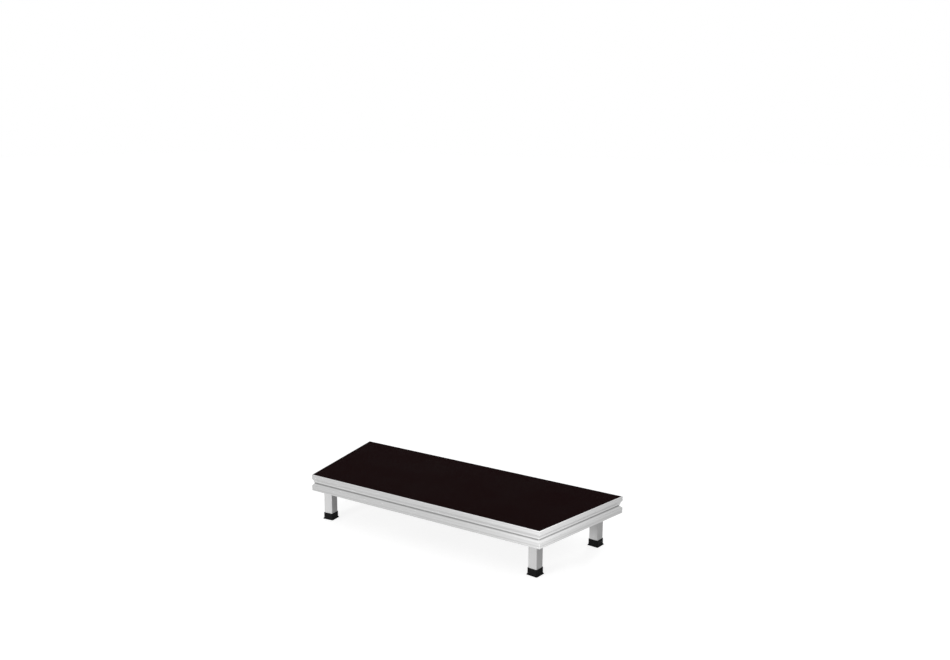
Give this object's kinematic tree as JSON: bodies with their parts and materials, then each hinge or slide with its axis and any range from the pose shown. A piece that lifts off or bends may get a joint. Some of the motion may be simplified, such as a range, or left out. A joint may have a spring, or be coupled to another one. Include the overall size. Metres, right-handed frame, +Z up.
{
  "type": "choir riser",
  "caption": "Wedge-shaped stage module: dark plywood deck in a grooved, mitred aluminium frame, on square legs held by hand-turned clamps in corner castings.",
  "frame": {"origin": "on the floor under the middle of the riser's outline", "axes": "+X to the right along the riser, +Y from the short front edge to the long back edge, +Z up"},
  "size_m": [1.288, 0.5, 0.2],
  "materials": {
    "rail_aluminium": "satin anodised",
    "leg_aluminium": "satin mill finish",
    "cast_aluminium": "as cast, blasted",
    "film_faced_ply": "phenolic film with a fine mesh grip",
    "black_rubber": "matte moulded",
    "black_plastic": "fine moulded grain",
    "zinc_steel": "bright zinc plated"
  },
  "bodies": {
    "frame": {"deck_panel": "film_faced_ply", "front_rail": "rail_aluminium", "right_rail": "rail_aluminium", "back_rail": "rail_aluminium", "left_rail": "rail_aluminium", "front_left_corner_casting": "cast_aluminium", "front_left_casting_bolt_1": "zinc_steel", "front_left_casting_bolt_2": "zinc_steel", "front_left_casting_bolt_3": "zinc_steel", "front_left_casting_bolt_4": "zinc_steel", "front_left_clamp_nut": "zinc_steel", "front_right_corner_casting": "cast_aluminium", "front_right_casting_bolt_1": "zinc_steel", "front_right_casting_bolt_2": "zinc_steel", "front_right_casting_bolt_3": "zinc_steel", "front_right_casting_bolt_4": "zinc_steel", "front_right_clamp_nut": "zinc_steel", "back_right_corner_casting": "cast_aluminium", "back_right_casting_bolt_1": "zinc_steel", "back_right_casting_bolt_2": "zinc_steel", "back_right_casting_bolt_3": "zinc_steel", "back_right_casting_bolt_4": "zinc_steel", "back_right_clamp_nut": "zinc_steel", "back_left_corner_casting": "cast_aluminium", "back_left_casting_bolt_1": "zinc_steel", "back_left_casting_bolt_2": "zinc_steel", "back_left_casting_bolt_3": "zinc_steel", "back_left_casting_bolt_4": "zinc_steel", "back_left_clamp_nut": "zinc_steel", "left_brace": "rail_aluminium", "left_brace_front_saddle": "cast_aluminium", "left_brace_front_saddle_bolt": "zinc_steel", "left_brace_back_saddle": "cast_aluminium", "left_brace_back_saddle_bolt": "zinc_steel", "right_brace": "rail_aluminium", "right_brace_front_saddle": "cast_aluminium", "right_brace_front_saddle_bolt": "zinc_steel", "right_brace_back_saddle": "cast_aluminium", "right_brace_back_saddle_bolt": "zinc_steel"},
    "front_left_leg_body": {"front_left_leg": "leg_aluminium", "front_left_foot": "black_rubber"},
    "front_left_shoe_body": {"front_left_clamp_shoe": "zinc_steel"},
    "front_left_screw_body": {"front_left_clamp_stud": "zinc_steel", "front_left_clamp_knob": "black_plastic"},
    "front_right_leg_body": {"front_right_leg": "leg_aluminium", "front_right_foot": "black_rubber"},
    "front_right_shoe_body": {"front_right_clamp_shoe": "zinc_steel"},
    "front_right_screw_body": {"front_right_clamp_stud": "zinc_steel", "front_right_clamp_knob": "black_plastic"},
    "back_right_leg_body": {"back_right_leg": "leg_aluminium", "back_right_foot": "black_rubber"},
    "back_right_shoe_body": {"back_right_clamp_shoe": "zinc_steel"},
    "back_right_screw_body": {"back_right_clamp_stud": "zinc_steel", "back_right_clamp_knob": "black_plastic"},
    "back_left_leg_body": {"back_left_leg": "leg_aluminium", "back_left_foot": "black_rubber"},
    "back_left_shoe_body": {"back_left_clamp_shoe": "zinc_steel"},
    "back_left_screw_body": {"back_left_clamp_stud": "zinc_steel", "back_left_clamp_knob": "black_plastic"}
  },
  "joints": [
    {"name": "front_left_leg_slide", "type": "slide", "parent": "frame", "child": "front_left_leg_body", "axis": [0, 0, -1], "range_m": [0, 0.045]},
    {"name": "front_left_shoe_slide", "type": "slide", "parent": "frame", "child": "front_left_shoe_body", "axis": [-0.0928, 0.9957, 0], "range_m": [0, 0.003]},
    {"name": "front_left_clamp_screw", "type": "hinge", "parent": "front_left_shoe_body", "child": "front_left_screw_body", "pos_m": [-0.50394, -0.15017, 0.16], "axis": [-0.0928, 0.9957, 0], "range_deg": [0, 720]},
    {"name": "front_right_leg_slide", "type": "slide", "parent": "frame", "child": "front_right_leg_body", "axis": [0, 0, -1], "range_m": [0, 0.045]},
    {"name": "front_right_shoe_slide", "type": "slide", "parent": "frame", "child": "front_right_shoe_body", "axis": [0.0928, 0.9957, 0], "range_m": [0, 0.003]},
    {"name": "front_right_clamp_screw", "type": "hinge", "parent": "front_right_shoe_body", "child": "front_right_screw_body", "pos_m": [0.50394, -0.15017, 0.16], "axis": [0.0928, 0.9957, 0], "range_deg": [0, 720]},
    {"name": "back_right_leg_slide", "type": "slide", "parent": "frame", "child": "back_right_leg_body", "axis": [0, 0, -1], "range_m": [0, 0.045]},
    {"name": "back_right_shoe_slide", "type": "slide", "parent": "frame", "child": "back_right_shoe_body", "axis": [-0.0928, -0.9957, 0], "range_m": [0, 0.003]},
    {"name": "back_right_clamp_screw", "type": "hinge", "parent": "back_right_shoe_body", "child": "back_right_screw_body", "pos_m": [0.55952, 0.14317, 0.16], "axis": [-0.0928, -0.9957, 0], "range_deg": [0, 720]},
    {"name": "back_left_leg_slide", "type": "slide", "parent": "frame", "child": "back_left_leg_body", "axis": [0, 0, -1], "range_m": [0, 0.045]},
    {"name": "back_left_shoe_slide", "type": "slide", "parent": "frame", "child": "back_left_shoe_body", "axis": [0.0928, -0.9957, 0], "range_m": [0, 0.003]},
    {"name": "back_left_clamp_screw", "type": "hinge", "parent": "back_left_shoe_body", "child": "back_left_screw_body", "pos_m": [-0.55952, 0.14317, 0.16], "axis": [0.0928, -0.9957, 0], "range_deg": [0, 720]}
  ],
  "couplings": [
    {"joint": "front_left_clamp_screw", "follows": "front_left_shoe_slide", "rad_per_m": 4188.8},
    {"joint": "front_right_clamp_screw", "follows": "front_right_shoe_slide", "rad_per_m": 4188.8},
    {"joint": "back_right_clamp_screw", "follows": "back_right_shoe_slide", "rad_per_m": 4188.8},
    {"joint": "back_left_clamp_screw", "follows": "back_left_shoe_slide", "rad_per_m": 4188.8}
  ]
}
